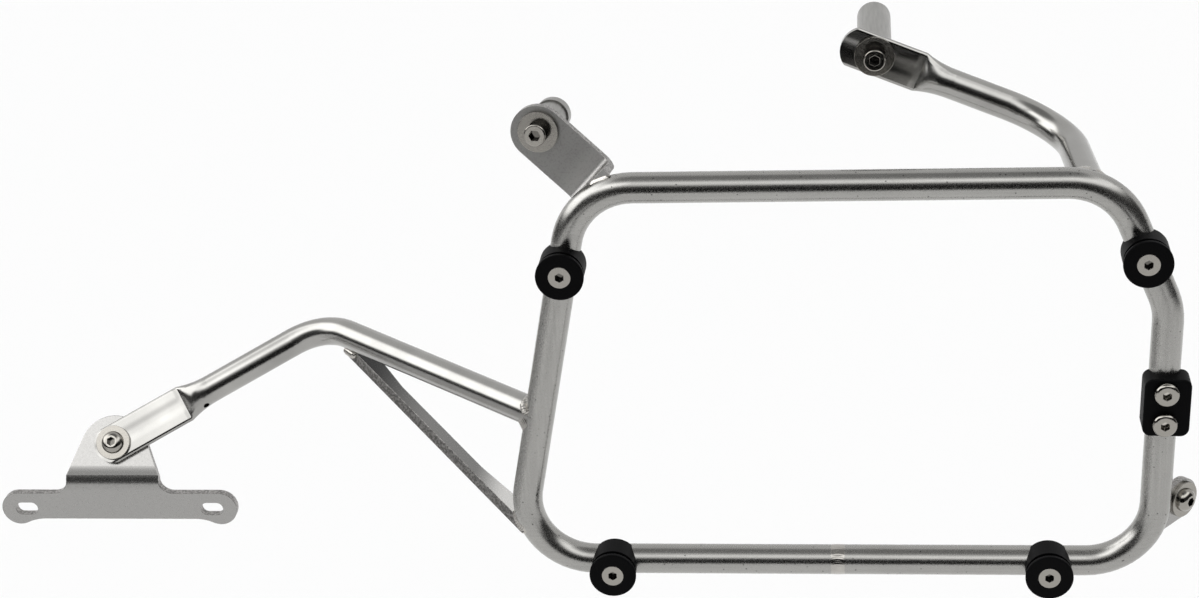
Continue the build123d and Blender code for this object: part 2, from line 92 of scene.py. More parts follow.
# The gusset has painted shade under the brace and painted light at its foot, and the tab is
# speckled and has painted light towards its bend. Each has a direction, its painted shade at the
# start, the stretches that way over which painted light brightens it (from and to in millimetres,
# and how many times), and the depth of its speckles
GUSSET_SHADES = (
    Vector((1.0, 0.0, 0.0)),
    0.04,
    ((-322.0, -278.0, 15.0), (-248.0, -226.0, 3.3)),
    0.0,
)
TAB_SHADES = (Vector((0.733, -0.136, -0.667)), 1.0, ((-86.0, -70.0, 1.4),), 0.15)

# Sizes of the patterns in the finishes, in millimetres. The grains, the speckles and the tool
# rings are finer on a real rack, and are drawn as coarse as they need to be to show in a render
TUBE_CLOUD = 28.0
TUBE_GRAIN = 0.8
STREAK_WIDTH = 1.6
STREAK_LENGTH = 70.0
PIT_SPACING = 5.0
PLATE_GRAIN = 1.3
PLATE_SPECKLE = 1.1
FASTENER_GRAIN = 0.8
SCUFF_WIDTH = 1.4
SCUFF_LENGTH = 18.0
TOOL_RING = 0.9
MOULD_GRAIN = 0.7
WELD_CLOUD = 5.0

# How deep those grains are pressed, and how far edges are eased, in millimetres
GRAIN_DEPTH = 0.03
MOULD_DEPTH = 0.06
PLATE_EASE = 0.6
FASTENER_EASE = 0.35
MOULDING_EASE = 0.5

# Share of the streaks in the hoop's shade, and where a pit ends as a share of the pits' spacing
STREAK_SHARE = 0.6
PIT_RIM = (0.07, 0.12)

# Length at which a wave texture of scale one repeats
WAVE_PERIOD = 0.31

# Roughness of what has no setting of its own
FLAT_ROUGHNESS = 0.16
CUT_ROUGHNESS = 0.36
SPACER_ROUGHNESS = 0.36
MOULDING_ROUGHNESS = (0.42, 0.62)
WELD_ROUGHNESS = 0.2
PAPER_ROUGHNESS = 0.9

# Painted shade in the sockets and other hollows beside the heads' own colour: most are painted
# dark, the latch screws' are painted bright
DARK_SOCKET = 0.3
BRIGHT_SOCKET = 1.6
SOCKET_DEPTH = 5.0

# Colours of the weld metal, and of the felt on the cards
WELD_DULL = "#A3A09B"
WELD_BRIGHT = "#C0BDB8"
FELT_BLACK = "#0C0C0C"
FELT_GREY = "#D8D8D8"

# Finding seams: a point this near a tube lies on it, one this far within the outer wall belongs to
# the bore, points this close are one, and faces with this cosine or more look the same way
TOUCH = 0.12 * MM
WALL_SLACK = 0.2 * MM
SAME_POINT = 0.001 * MM
SAME_WAY = 0.7

# The side from which the welder worked, in front and above
WELDER = Vector((0.0, -0.8, 0.6))

# Weld beads: how far the middle of each kind is filled, from its root at nothing to the line
# between its toes at one (the ring's root stands above that line), how high the ring's ripples are
# beside the others', how much a leg wavers and over what length, how much the crater swells and
# how far, and how deep the toes and the root sink
TUBE_FULLNESS = 0.75
PLATE_FULLNESS = 1.0
RING_FULLNESS = 0.0
RING_RIPPLE = 0.25
LEG_WAVER = 0.1
WAVER_LENGTH = 7.0 * MM
CRATER_SWELL = 0.5
CRATER_REACH = 4.0 * MM
TOE_SINK = 0.05 * MM
ROOT_SINK = 0.8 * MM

# Fineness of the beads: cross-sections to a ripple, faces across, how many cross-sections each
# way a seam is smoothed over, and how far a ripple curls back at its middle
RIPPLE_STEPS = 7
BEAD_FACES = 14
SMOOTH_REACH = 9
RIPPLE_CURL = 0.7

# Where the puddle of a finished weld begins and ends, and its radius, in millimetres: at the
# gusset's tip and on the brace
PUDDLES = {
    "weld_brace_gusset_end": ((-336.8, -64.4, -196.1), (-332.4, -68.4, -197.2), 3.0),
    "weld_brace_tube_end": ((-209.2, -171.6, -184.1), (-208.6, -173.2, -185.7), 2.3),
}

# Camera, as the photograph was taken: place in millimetres, axes, and sensor and lens
CAMERA_PLACE = Vector((-6.545, -1497.31, 460.43))
CAMERA_RIGHT = Vector((0.99436, 0.09458, -0.04801))
CAMERA_DOWN = Vector((-0.00636, -0.39869, -0.91706))
CAMERA_SENSOR = 36.0
CAMERA_LENS = 74.86
CAMERA_CLIP = (0.05, 100.0)

# Studio, in metres: how far the paper runs out, the black card in front and the grey one beside
PAPER_SIDE = 10.5
PAPER_FRONT = 12.5
PAPER_BACK = 16.0
CARD_AWAY = 1.27
CARD_EDGES = (-0.42, 0.55, -0.47, 0.26)
FLAG_AWAY = 2.4
FLAG_EDGES = (-3.0, 2.2, -1.75, -0.45)
FLAG_FADE = (-3.0, 0.6)

# Zones of the room, each over the ones before it: brightness of its own, share of the soft boxes'
# brightness, then in degrees azimuth from and to (zero is outboard, where the camera stands, and
# plus is to the rear), elevation from and to, and softness
ROOM_ZONES = {
    "dim ceiling": (0.3, 0.0, -181, 181, 66, 95, 5),
    "front soft box": (0.0, 1.0, -118, -57, 0, 56, 12),
    "dark belt": (0.04, 0.0, -120, 104, -40, 13, 5),
    "raised dark belt": (0.04, 0.0, -58, 104, -40, 31, 6),
    "middle soft box": (0.0, 1.0, -60, -14, 38, 58, 7),
    "rear soft box": (0.0, 0.7, -3, 104, 36, 58, 7),
}

# Options that many nodes share
SMOOTH = {"interpolation_type": "SMOOTHSTEP"}
COLOURS = {"data_type": "RGBA"}
VALUES = {"data_type": "FLOAT"}
DOT = {"operation": "DOT_PRODUCT"}
TIMES = {"operation": "MULTIPLY"}


def linear(code):
    """Turn an sRGB hex colour into linear RGBA."""
    channels = [int(code[i : i + 2], 16) / 255 for i in (1, 3, 5)]
    values = [c / 12.92 if c <= 0.04045 else ((c + 0.055) / 1.055) ** 2.4 for c in channels]
    return (*values, 1.0)


def shaded(colour, factor):
    """The same colour, darker or lighter."""
    return tuple(c * factor for c in colour[:3]) + (1.0,)


def add_node(tree, kind, settings=None, inputs=None):
    """Add one node, set its options, and set or link its inputs."""
    node = tree.nodes.new(kind)
    for name, value in (settings or {}).items():
        setattr(node, name, value)
    for name, value in (inputs or {}).items():
        if isinstance(value, bpy.types.NodeSocket):
            tree.links.new(value, node.inputs[name])
        else:
            node.inputs[name].default_value = value
    return node


class RackFinish(bpy.types.PropertyGroup):
    """Colours and gloss of the rack's finishes."""

    tube_colour: bpy.props.FloatVectorProperty(
        name="Tube colour",
        description="Electropolished stainless tube",
        subtype="COLOR",
        size=4,
        default=linear("#A09F9C"),
    )
    tube_roughness: bpy.props.FloatProperty(
        name="Tube roughness",
        description="Spread of the reflections on the tubes",
        subtype="FACTOR",
        default=0.25,
    )
    arm_roughness: bpy.props.FloatProperty(
        name="Arm roughness",
        description="Spread of the reflections on the brace and the arm, polished brighter",
        subtype="FACTOR",
        default=0.2,
    )
    plate_colour: bpy.props.FloatVectorProperty(
        name="Plate colour",
        description="Laser-cut stainless plate",
        subtype="COLOR",
        size=4,
        default=linear("#A09F9D"),
    )
    cut_colour: bpy.props.FloatVectorProperty(
        name="Cut colour",
        description="Sides that the laser cut",
        subtype="COLOR",
        size=4,
        default=linear("#888684"),
    )
    plate_roughness: bpy.props.FloatProperty(
        name="Plate roughness",
        description="Spread of the reflections on the plates",
        subtype="FACTOR",
        default=0.26,
    )
    tab_roughness: bpy.props.FloatProperty(
        name="Tab roughness",
        description="Spread of the reflections on the front upper tab, which is left duller",
        subtype="FACTOR",
        default=0.45,
    )
    fastener_colour: bpy.props.FloatVectorProperty(
        name="Fastener colour",
        description="Cold-headed stainless bolts, washers and nuts",
        subtype="COLOR",
        size=4,
        default=linear("#9A9791"),
    )
    fastener_roughness: bpy.props.FloatProperty(
        name="Fastener roughness",
        description="Spread of the reflections on the bolts, screws and nuts",
        subtype="FACTOR",
        default=0.12,
    )
    washer_roughness: bpy.props.FloatProperty(
        name="Washer roughness",
        description="Spread of the reflections on the stamped washers",
        subtype="FACTOR",
        default=0.2,
    )
    spacer_colour: bpy.props.FloatVectorProperty(
        name="Spacer colour",
        description="Turned steel spacers",
        subtype="COLOR",
        size=4,
        default=linear("#9A9996"),
    )
    moulding_colour: bpy.props.FloatVectorProperty(
        name="Moulding colour",
        description="Black moulded nylon of the pucks and the latch block",
        subtype="COLOR",
        size=4,
        default=linear("#050506"),
    )


class RackWelds(bpy.types.PropertyGroup):
    """Sizes of the weld beads."""

    tube_radius: bpy.props.FloatProperty(
        name="Tube radius",
        description="Outside radius of every tube",
        unit="LENGTH",
        default=9.0 * MM,
    )
    tube_leg: bpy.props.FloatProperty(
        name="Tube leg",
        description="How far a bead reaches along each of two tubes",
        unit="LENGTH",
        default=3.6 * MM,
    )
    plate_leg: bpy.props.FloatProperty(
        name="Plate leg",
        description="How far a bead reaches along a plate and its tube",
        unit="LENGTH",
        default=2.6 * MM,
    )
    fine_leg: bpy.props.FloatProperty(
        name="Fine leg",
        description="How far a bead reaches on the tab and the lug, which are welded lightly",
        unit="LENGTH",
        default=1.3 * MM,
    )
    ring_half_width: bpy.props.FloatProperty(
        name="Ring half width",
        description="Half the width of the ring bead that closes the hoop",
        unit="LENGTH",
        default=4.6 * MM,
    )
    ring_crown: bpy.props.FloatProperty(
        name="Ring crown",
        description="How far the ring bead stands above the tube",
        unit="LENGTH",
        default=0.15 * MM,
    )
    ripple: bpy.props.FloatProperty(
        name="Ripple",
        description="How far the ripples of a bead rise and fall",
        unit="LENGTH",
        default=0.18 * MM,
    )
    ripple_pitch: bpy.props.FloatProperty(
        name="Ripple pitch",
        description="Distance from one ripple of a bead to the next",
        unit="LENGTH",
        default=1.6 * MM,
    )


class RackStudio(bpy.types.PropertyGroup):
    """The studio round the rack."""

    floor_colour: bpy.props.FloatVectorProperty(
        name="Floor colour",
        description="White seamless paper",
        subtype="COLOR",
        size=4,
        default=linear("#F2F2F2"),
    )
    floor_drop: bpy.props.FloatProperty(
        name="Floor drop",
        description="How far the paper lies below the rack, which hangs by its fixings",
        unit="LENGTH",
        default=1.5,
    )
    soft_box: bpy.props.FloatProperty(
        name="Soft boxes",
        description="Brightness of the three soft boxes",
        default=3.0,
    )
    room: bpy.props.FloatProperty(
        name="Room",
        description="Brightness of the white walls",
        default=0.85,
    )


def start_material(name, metallic=0.0):
    """Start a material: returns it, its tree, its shader and the place on the rack in metres."""
    material = bpy.data.materials.new(name)
    material.use_nodes = True
    tree = material.node_tree
    shader = tree.nodes["Principled BSDF"]
    shader.inputs["Metallic"].default_value = metallic
    place = add_node(tree, "ShaderNodeTexCoord").outputs["Object"]
    return material, tree, shader, place


def connect(tree, shader, sockets):
    """Link what a finish has made to the shader's own inputs."""
    for name, socket in sockets.items():
        tree.links.new(socket, shader.inputs[name])


def band(tree, value, low, high, soft):
    """One inside a range of a value and nothing outside it, with soft ends."""
    ends = []
    for edge, before, after in ((low, 0.0, 1.0), (high, 1.0, 0.0)):
        step = add_node(
            tree,
            "ShaderNodeMapRange",
            SMOOTH,
            {
                "Value": value,
                "From Min": edge - soft,
                "From Max": edge + soft,
                "To Min": before,
                "To Max": after,
            },
        )
        ends.append(step.outputs["Result"])
    both = add_node(tree, "ShaderNodeMath", TIMES, {0: ends[0], 1: ends[1]})
    return both.outputs["Value"]


def grain_and_gloss(tree, place, size, detail, roughness, spread):
    """A fine grain of a size in millimetres, and the roughness that wavers with it."""
    grain = add_node(
        tree,
        "ShaderNodeTexNoise",
        inputs={"Vector": place, "Scale": 1 / (size * MM), "Detail": detail},
    ).outputs["Fac"]
    rough = add_node(
        tree,
        "ShaderNodeMapRange",
        inputs={
            "Value": grain,
            "From Min": 0.3,
            "From Max": 0.7,
            "To Min": roughness * spread[0],
            "To Max": roughness * spread[1],
        },
    )
    return grain, rough.outputs["Result"]


def drawn_streaks(tree, place, shade, legs):
    """Mix faint streaks into a shade, upright between the legs' heights and along X elsewhere."""
    fine, long = 1 / (STREAK_WIDTH * MM), 1 / (STREAK_LENGTH * MM)
    streaks = []
    for scale in ((long, fine, fine), (fine, fine, long)):
        drawn = add_node(tree, "ShaderNodeMapping", inputs={"Vector": place, "Scale": scale})
        streak = add_node(
            tree,
            "ShaderNodeTexNoise",
            inputs={"Vector": drawn.outputs["Vector"], "Scale": 1.0, "Detail": 3.0},
        )
        streaks.append(streak.outputs["Fac"])
    height = add_node(tree, "ShaderNodeSeparateXYZ", inputs={"Vector": place}).outputs["Z"]
    upright = band(tree, height, legs[0] * MM, legs[1] * MM, LEG_FADE * MM)
    streak = add_node(
        tree, "ShaderNodeMix", VALUES, {"Factor": upright, "A": streaks[0], "B": streaks[1]}
    )
    return add_node(
        tree,
        "ShaderNodeMix",
        VALUES,
        {"Factor": STREAK_SHARE, "A": shade, "B": streak.outputs["Result"]},
    ).outputs["Result"]


def pitted(tree, place, skin, colour):
    """Scatter a few dark pits over a skin."""
    cells = add_node(
        tree, "ShaderNodeTexVoronoi", inputs={"Vector": place, "Scale": 1 / (PIT_SPACING * MM)}
    )
    clear = add_node(
        tree,
        "ShaderNodeMapRange",
        inputs={
            "Value": cells.outputs["Distance"],
            "From Min": PIT_RIM[0],
            "From Max": PIT_RIM[1],
        },
    )
    return add_node(
        tree,
        "ShaderNodeMix",
        COLOURS,
        {"Factor": clear.outputs["Result"], "A": shaded(colour, 0.35), "B": skin},
    ).outputs["Result"]


def pressed_end(tree, place, gloss, pressed):
    """Iron the grain of a pressed end and sink its trough: returns the roughness and the normal."""
    tip, along, flat, reach = pressed
    arm = add_node(
        tree, "ShaderNodeVectorMath", {"operation": "SUBTRACT"}, {0: place, 1: tip}
    ).outputs["Vector"]
    away = add_node(tree, "ShaderNodeVectorMath", DOT, {0: arm, 1: along})
    ironed = add_node(
        tree,
        "ShaderNodeMapRange",
        SMOOTH,
        {
            "Value": away.outputs["Value"],
            "From Min": reach - FLAT_FADE * MM,
            "From Max": reach,
            "To Min": 1.0,
            "To Max": 0.0,
        },
    ).outputs["Result"]
    gloss = add_node(
        tree, "ShaderNodeMix", VALUES, {"Factor": ironed, "A": gloss, "B": FLAT_ROUGHNESS}
    ).outputs["Result"]
    aside = add_node(tree, "ShaderNodeVectorMath", DOT, {0: arm, 1: flat.cross(along)})
    off = add_node(tree, "ShaderNodeMath", {"operation": "ABSOLUTE"}, {0: aside.outputs["Value"]})
    trough = add_node(
        tree,
        "ShaderNodeMapRange",
        {"interpolation_type": "SMOOTHERSTEP"},
        {"Value": off.outputs["Value"], "From Min": 0.0, "From Max": TROUGH_HALF * MM},
    )
    hollow = add_node(tree, "ShaderNodeMath", TIMES, {0: trough.outputs["Result"], 1: ironed})
    worn = add_node(
        tree,
        "ShaderNodeBump",
        inputs={
            "Height": hollow.outputs["Value"],
            "Strength": 1.0,
            "Distance": TROUGH_DEPTH * MM,
        },
    )
    return gloss, worn.outputs["Normal"]


def electropolished_tube(name, roughness, finish, legs=None, pressed=None):
    """Electropolished stainless tube: bands of reflection, softened by a fine grain.

    Where the heights between which the hoop's legs stand are given, a few pits show, and faint
    streaks run along the legs between them and along the rails above and below, as the drawn
    tube has them.
    A pressed end is given by its tip, its direction, its flat's direction and its reach: there
    the tools have ironed the grain and left a shallow trough along the middle.
    """
    material, tree, shader, place = start_material(name, metallic=1.0)
    cloud = add_node(
        tree,
        "ShaderNodeTexNoise",
        inputs={"Vector": place, "Scale": 1 / (TUBE_CLOUD * MM), "Detail": 3.0},
    )
    shade = cloud.outputs["Fac"]
    if legs is not None:
        shade = drawn_streaks(tree, place, shade, legs)
    skin = add_node(
        tree,
        "ShaderNodeMix",
        COLOURS,
        {
            "Factor": shade,
            "A": shaded(finish.tube_colour, 0.75),
            "B": shaded(finish.tube_colour, 1.25),
        },
    ).outputs["Result"]
    if legs is not None:
        skin = pitted(tree, place, skin, finish.tube_colour)
    grain, gloss = grain_and_gloss(tree, place, TUBE_GRAIN, 4.0, roughness, (0.85, 1.2))
    bump = add_node(
        tree,
        "ShaderNodeBump",
        inputs={"Height": grain, "Strength": 0.09, "Distance": GRAIN_DEPTH * MM},
    )
    if pressed is not None:
        gloss, hollowed = pressed_end(tree, place, gloss, pressed)
        tree.links.new(hollowed, bump.inputs["Normal"])
    normal = bump.outputs["Normal"]
    connect(tree, shader, {"Base Color": skin, "Roughness": gloss, "Normal": normal})
    return material


def uneven_shade(tree, place, colour, shades):
    """Speckle a plate's colour and paint light and shade into it along one direction."""
    heading, first, brightens, speckle = shades
    along = add_node(tree, "ShaderNodeVectorMath", DOT, {0: place, 1: heading})
    dots = add_node(
        tree,
        "ShaderNodeTexNoise",
        inputs={"Vector": place, "Scale": 1 / (PLATE_SPECKLE * MM), "Detail": 1.0},
    )
    shade = add_node(
        tree,
        "ShaderNodeMapRange",
        inputs={
            "Value": dots.outputs["Fac"],
            "From Min": 0.5,
            "From Max": 0.7,
            "To Min": first,
            "To Max": first * (1 - speckle),
        },
    ).outputs["Result"]
    # Painted light and shade: the colour is scaled up stretch by stretch along the heading
    for start, end, gain in brightens:
        rise = add_node(
            tree,
            "ShaderNodeMapRange",
            SMOOTH,
            {
                "Value": along.outputs["Value"],
                "From Min": start * MM,
                "From Max": end * MM,
                "To Min": 1.0,
                "To Max": gain,
            },
        )
        shade = add_node(
            tree, "ShaderNodeMath", TIMES, {0: rise.outputs["Result"], 1: shade}
        ).outputs["Value"]
    return add_node(
        tree, "ShaderNodeVectorMath", {"operation": "SCALE"}, {0: colour[:3], "Scale": shade}
    ).outputs["Vector"]


def rounded_fold(tree, place, normal, fold):
    """Round a sheet's fold, and lean the sheet back above it, by shading alone."""
    height, reach, drop, run, lean = fold
    level = add_node(tree, "ShaderNodeSeparateXYZ", inputs={"Vector": place}).outputs["Z"]
    above = add_node(
        tree, "ShaderNodeMath", {"operation": "SUBTRACT"}, {0: level, 1: height * MM}
    ).outputs["Value"]
    off = add_node(tree, "ShaderNodeMath", {"operation": "ABSOLUTE"}, {0: above})
    away = add_node(
        tree,
        "ShaderNodeMapRange",
        SMOOTH,
        {"Value": off.outputs["Value"], "From Min": 0.0, "From Max": reach * MM},
    )
    back = add_node(
        tree,
        "ShaderNodeMapRange",
        inputs={
            "Value": above,
            "From Min": reach * MM,
            "From Max": (reach + run) * MM,
            "To Max": -lean / drop,
        },
    )
    pressed = add_node(
        tree,
        "ShaderNodeMath",
        {"operation": "ADD"},
        {0: away.outputs["Result"], 1: back.outputs["Result"]},
    )
    return add_node(
        tree,
        "ShaderNodeBump",
        inputs={
            "Height": pressed.outputs["Value"],
            "Normal": normal,
            "Strength": 1.0,
            "Distance": drop * MM,
        },
    ).outputs["Normal"]


def laser_cut_plate(name, roughness, finish, sheet, fold=None, shades=None):
    """Laser-cut stainless plate, tumbled: soft broad reflections, eased edges, darker cut sides.

    A fold is given by its height, its reach and its depth, where the press has rounded the sheet,
    and by how far the sheet runs on above it and leans back.
    A plate with painted light and shade is given by a direction, its painted shade at the start,
    where that way painted light brightens it, and how deep its speckles are.
    """
    material, tree, shader, place = start_material(name, metallic=1.0)
    facing = add_node(tree, "ShaderNodeNewGeometry").outputs["True Normal"]
    square = add_node(tree, "ShaderNodeVectorMath", DOT, {0: facing, 1: sheet})
    flat = add_node(tree, "ShaderNodeMath", {"operation": "ABSOLUTE"}, {0: square.outputs["Value"]})
    cut = add_node(
        tree,
        "ShaderNodeMapRange",
        inputs={
            "Value": flat.outputs["Value"],
            "From Min": 0.5,
            "From Max": 0.75,
            "To Min": 1.0,
            "To Max": 0.0,
        },
    ).outputs["Result"]
    grain, rough = grain_and_gloss(tree, place, PLATE_GRAIN, 2.0, roughness, (0.92, 1.08))
    spark = add_node(
        tree, "ShaderNodeMapRange", inputs={"Value": grain, "From Min": 0.4, "From Max": 0.65}
    )
    sides = add_node(
        tree,
        "ShaderNodeMix",
        COLOURS,
        {
            "Factor": spark.outputs["Result"],
            "A": shaded(finish.cut_colour, 0.75),
            "B": shaded(finish.cut_colour, 1.8),
        },
    )
    broad = finish.plate_colour
    if shades is not None:
        broad = uneven_shade(tree, place, broad, shades)
    tone = add_node(
        tree, "ShaderNodeMix", COLOURS, {"Factor": cut, "A": broad, "B": sides.outputs["Result"]}
    ).outputs["Result"]
    gloss = add_node(
        tree, "ShaderNodeMix", VALUES, {"Factor": cut, "A": rough, "B": CUT_ROUGHNESS}
    ).outputs["Result"]
    eased = add_node(tree, "ShaderNodeBevel", {"samples": 8}, {"Radius": PLATE_EASE * MM})
    normal = eased.outputs["Normal"]
    if fold is not None:
        normal = rounded_fold(tree, place, normal, fold)
    depth = add_node(tree, "ShaderNodeMix", VALUES, {"Factor": cut, "A": 0.05, "B": 1.0})
    normal = add_node(
        tree,
        "ShaderNodeBump",
        inputs={
            "Height": grain,
            "Normal": normal,
            "Strength": depth.outputs["Result"],
            "Distance": GRAIN_DEPTH * MM,
        },
    ).outputs["Normal"]
    connect(tree, shader, {"Base Color": tone, "Roughness": gloss, "Normal": normal})
    return material


def cold_headed_stainless(name, finish, roughness, socket):
    """Cold-headed or stamped stainless, barrel polished: mirrors the room, with eased edges.

    Painted shade darkens the sockets and other hollows, or painted light brightens them.
    """
    material, tree, shader, place = start_material(name, metallic=1.0)
    # Painted shade: ambient occlusion mixes the painted socket colour, darker or brighter, into
    # sockets and other hollows
    open_sky = add_node(
        tree,
        "ShaderNodeAmbientOcclusion",
        {"samples": 8, "only_local": True},
        {"Distance": SOCKET_DEPTH * MM},
    )
    light = add_node(
        tree,
        "ShaderNodeMapRange",
        inputs={"Value": open_sky.outputs["AO"], "From Min": 0.25, "From Max": 0.85},
    )
    tone = add_node(
        tree,
        "ShaderNodeMix",
        COLOURS,
        {
            "Factor": light.outputs["Result"],
            "A": shaded(finish.fastener_colour, socket),
            "B": finish.fastener_colour,
        },
    ).outputs["Result"]
    _, gloss = grain_and_gloss(tree, place, FASTENER_GRAIN, 3.0, roughness, (0.75, 1.25))
    eased = add_node(tree, "ShaderNodeBevel", {"samples": 8}, {"Radius": FASTENER_EASE * MM})
    normal = eased.outputs["Normal"]
    connect(tree, shader, {"Base Color": tone, "Roughness": gloss, "Normal": normal})
    return material


def turned_steel(name, finish):
    """Turned steel bar, left as cut: pale and matt, ringed by the tool and scuffed along."""
    material, tree, shader, place = start_material(name, metallic=1.0)
    across, along = 1 / (SCUFF_WIDTH * MM), 1 / (SCUFF_LENGTH * MM)
    stretched = add_node(
        tree, "ShaderNodeMapping", inputs={"Vector": place, "Scale": (across, along, across)}
    )
    scuffs = add_node(
        tree,
        "ShaderNodeTexNoise",
        inputs={"Vector": stretched.outputs["Vector"], "Scale": 1.0, "Detail": 3.0},
    )
    tone = add_node(
        tree,
        "ShaderNodeMix",
        COLOURS,
        {
            "Factor": scuffs.outputs["Fac"],
            "A": shaded(finish.spacer_colour, 0.72),
            "B": shaded(finish.spacer_colour, 1.28),
        },
    ).outputs["Result"]
    shader.inputs["Roughness"].default_value = SPACER_ROUGHNESS
    rings = add_node(
        tree,
        "ShaderNodeTexWave",
        {"wave_type": "BANDS", "bands_direction": "Y"},
        {
            "Vector": place,
            "Scale": WAVE_PERIOD / (TOOL_RING * MM),
            "Distortion": 0.8,
            "Detail": 1.0,
        },
    )
    bump = add_node(
        tree,
        "ShaderNodeBump",
        inputs={
            "Height": rings.outputs["Fac"],
            "Strength": 0.3,
            "Distance": GRAIN_DEPTH * MM,
        },
    )
    connect(tree, shader, {"Base Color": tone, "Normal": bump.outputs["Normal"]})
    return material


def moulded_nylon(name, finish):
    """Moulded black nylon: matt, with the fine spark-eroded grain of its mould."""
    material, tree, shader, place = start_material(name)
    shader.inputs["Base Color"].default_value = finish.moulding_colour
    shader.inputs["IOR"].default_value = 1.53
    shader.inputs["Specular IOR Level"].default_value = 0.05
    grain = add_node(
        tree,
        "ShaderNodeTexNoise",
        inputs={"Vector": place, "Scale": 1 / (MOULD_GRAIN * MM), "Detail": 3.0},
    ).outputs["Fac"]
    smooth, dull = MOULDING_ROUGHNESS
    gloss = add_node(
        tree, "ShaderNodeMapRange", inputs={"Value": grain, "To Min": smooth, "To Max": dull}
    ).outputs["Result"]
    eased = add_node(tree, "ShaderNodeBevel", {"samples": 6}, {"Radius": MOULDING_EASE * MM})
    bump = add_node(
        tree,
        "ShaderNodeBump",
        inputs={
            "Height": grain,
            "Normal": eased.outputs["Normal"],
            "Strength": 0.35,
            "Distance": MOULD_DEPTH * MM,
        },
    )
    connect(tree, shader, {"Roughness": gloss, "Normal": bump.outputs["Normal"]})
    return material


def weld_metal(name):
    """Stainless weld bead, pickled: clouded, and a little paler than the tube it lies on."""
    material, tree, shader, place = start_material(name, metallic=1.0)
    cloud = add_node(
        tree,
        "ShaderNodeTexNoise",
        inputs={"Vector": place, "Scale": 1 / (WELD_CLOUD * MM), "Detail": 3.0},
    )
    tone = add_node(
        tree,
        "ShaderNodeMix",
        COLOURS,
        {
            "Factor": cloud.outputs["Fac"],
            "A": linear(WELD_DULL),
            "B": linear(WELD_BRIGHT),
        },
    )
    connect(tree, shader, {"Base Color": tone.outputs["Result"]})
    shader.inputs["Roughness"].default_value = WELD_ROUGHNESS
    return material


def dress(nodes, material):
    """Give CAD nodes one finish."""
    for name in nodes:
        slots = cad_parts[name].data.materials
        slots.clear()
        slots.append(material)


def surface_of(name):
    """Search tree over a node's faces."""
    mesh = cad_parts[name].data
    return BVHTree.FromPolygons([v.co for v in mesh.vertices], [p.vertices for p in mesh.polygons])


def tube_seam(guest, host, root, knee, radius):
    """The line where a tube's outer wall meets its host: points in order, with both normals."""
    axis = (knee - root).normalized()
    side = axis.orthogonal().normalized()
    other = axis.cross(side)
    ordered = []
    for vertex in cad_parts[guest].data.vertices:
        _, host_normal, _, distance = host.find_nearest(vertex.co)
        arm = vertex.co - root * MM
        radial = arm - axis * arm.dot(axis)
        if distance >= TOUCH or radial.length < radius - WALL_SLACK:
            continue
        angle = math.atan2(radial.dot(other), radial.dot(side))
        ordered.append((angle, vertex.co.copy(), radial.normalized(), host_normal))
    ordered.sort(key=lambda item: item[0])
    return [item[1:] for item in ordered]


def plate_normal(name):
    """Direction that a plate's broad faces look, or the mean of them where the plate is folded."""
    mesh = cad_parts[name].data
    total = {}
    for polygon in mesh.polygons:
        normal = polygon.normal
        lead = max(normal, key=abs)
        key = tuple(round(c * math.copysign(1, lead), 2) for c in normal)
        total[key] = total.get(key, 0.0) + polygon.area
    chief = Vector(max(total, key=total.get)).normalized()
    mean = Vector()
    for key, area in total.items():
        share = Vector(key).dot(chief)
        if abs(share) > SAME_WAY:
            mean += Vector(key) * math.copysign(area, share)
    return mean.normalized()


def plate_seam(guest, host):
    """The line round the patch where a plate meets a tube: points in order, with both normals."""
    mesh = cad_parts[guest].data
    keys = [tuple(round(c / SAME_POINT) for c in vertex.co) for vertex in mesh.vertices]
    contact = {}
    for key, vertex in zip(keys, mesh.vertices):
        _, normal, _, distance = host.find_nearest(vertex.co)
        if distance < TOUCH:
            contact[key] = (vertex.co.copy(), normal)
    beside = {}
    for polygon in mesh.polygons:
        ring = [keys[i] for i in polygon.vertices]
        lies = all(k in contact and contact[k][1].dot(polygon.normal) < -SAME_WAY for k in ring)
        for a, b in zip(ring, ring[1:] + ring[:1]):
            beside.setdefault(frozenset((a, b)), []).append((lies, a, b, polygon.normal.copy()))
    follow = {}
    for sides in beside.values():
        sides.sort(key=lambda side: side[0])
        if len(sides) == 2 and sides[1][0] and not sides[0][0]:
            follow[sides[1][1]] = (sides[1][2], sides[0][3])
    loops = []
    while follow:
        key = next(iter(follow))
        loop = []
        while key in follow:
            after, own = follow.pop(key)
            point, host_normal = contact[key]
            loop.append((point, own, host_normal))
            key = after
        loops.append(loop)
    return max(loops, key=len)


def evenly(seam, step):
    """Points round a seam at even steps, with both normals, and the seam's length."""
    line = seam + seam[:1]
    runs = [0.0]
    for a, b in zip(line, line[1:]):
        runs.append(runs[-1] + (b[0] - a[0]).length)
    count = max(8, round(runs[-1] / step))
    even = []
    k = 0
    for i in range(count):
        want = runs[-1] * i / count
        while k < len(runs) - 2 and runs[k + 1] < want:
            k += 1
        span = runs[k + 1] - runs[k]
        share = (want - runs[k]) / span if span else 0.0
        even.append([a.lerp(b, share) for a, b in zip(line[k], line[k + 1])])
    return even, runs[-1]


def settled(even):
    """The same seam with its corners and its normals smoothed along the run."""
    count = len(even)
    smooth = []
    for i in range(count):
        near = [even[k % count] for k in range(i - SMOOTH_REACH, i + SMOOTH_REACH + 1)]
        smooth.append([sum(parts, Vector()) / len(near) for parts in zip(*near)])
    return smooth


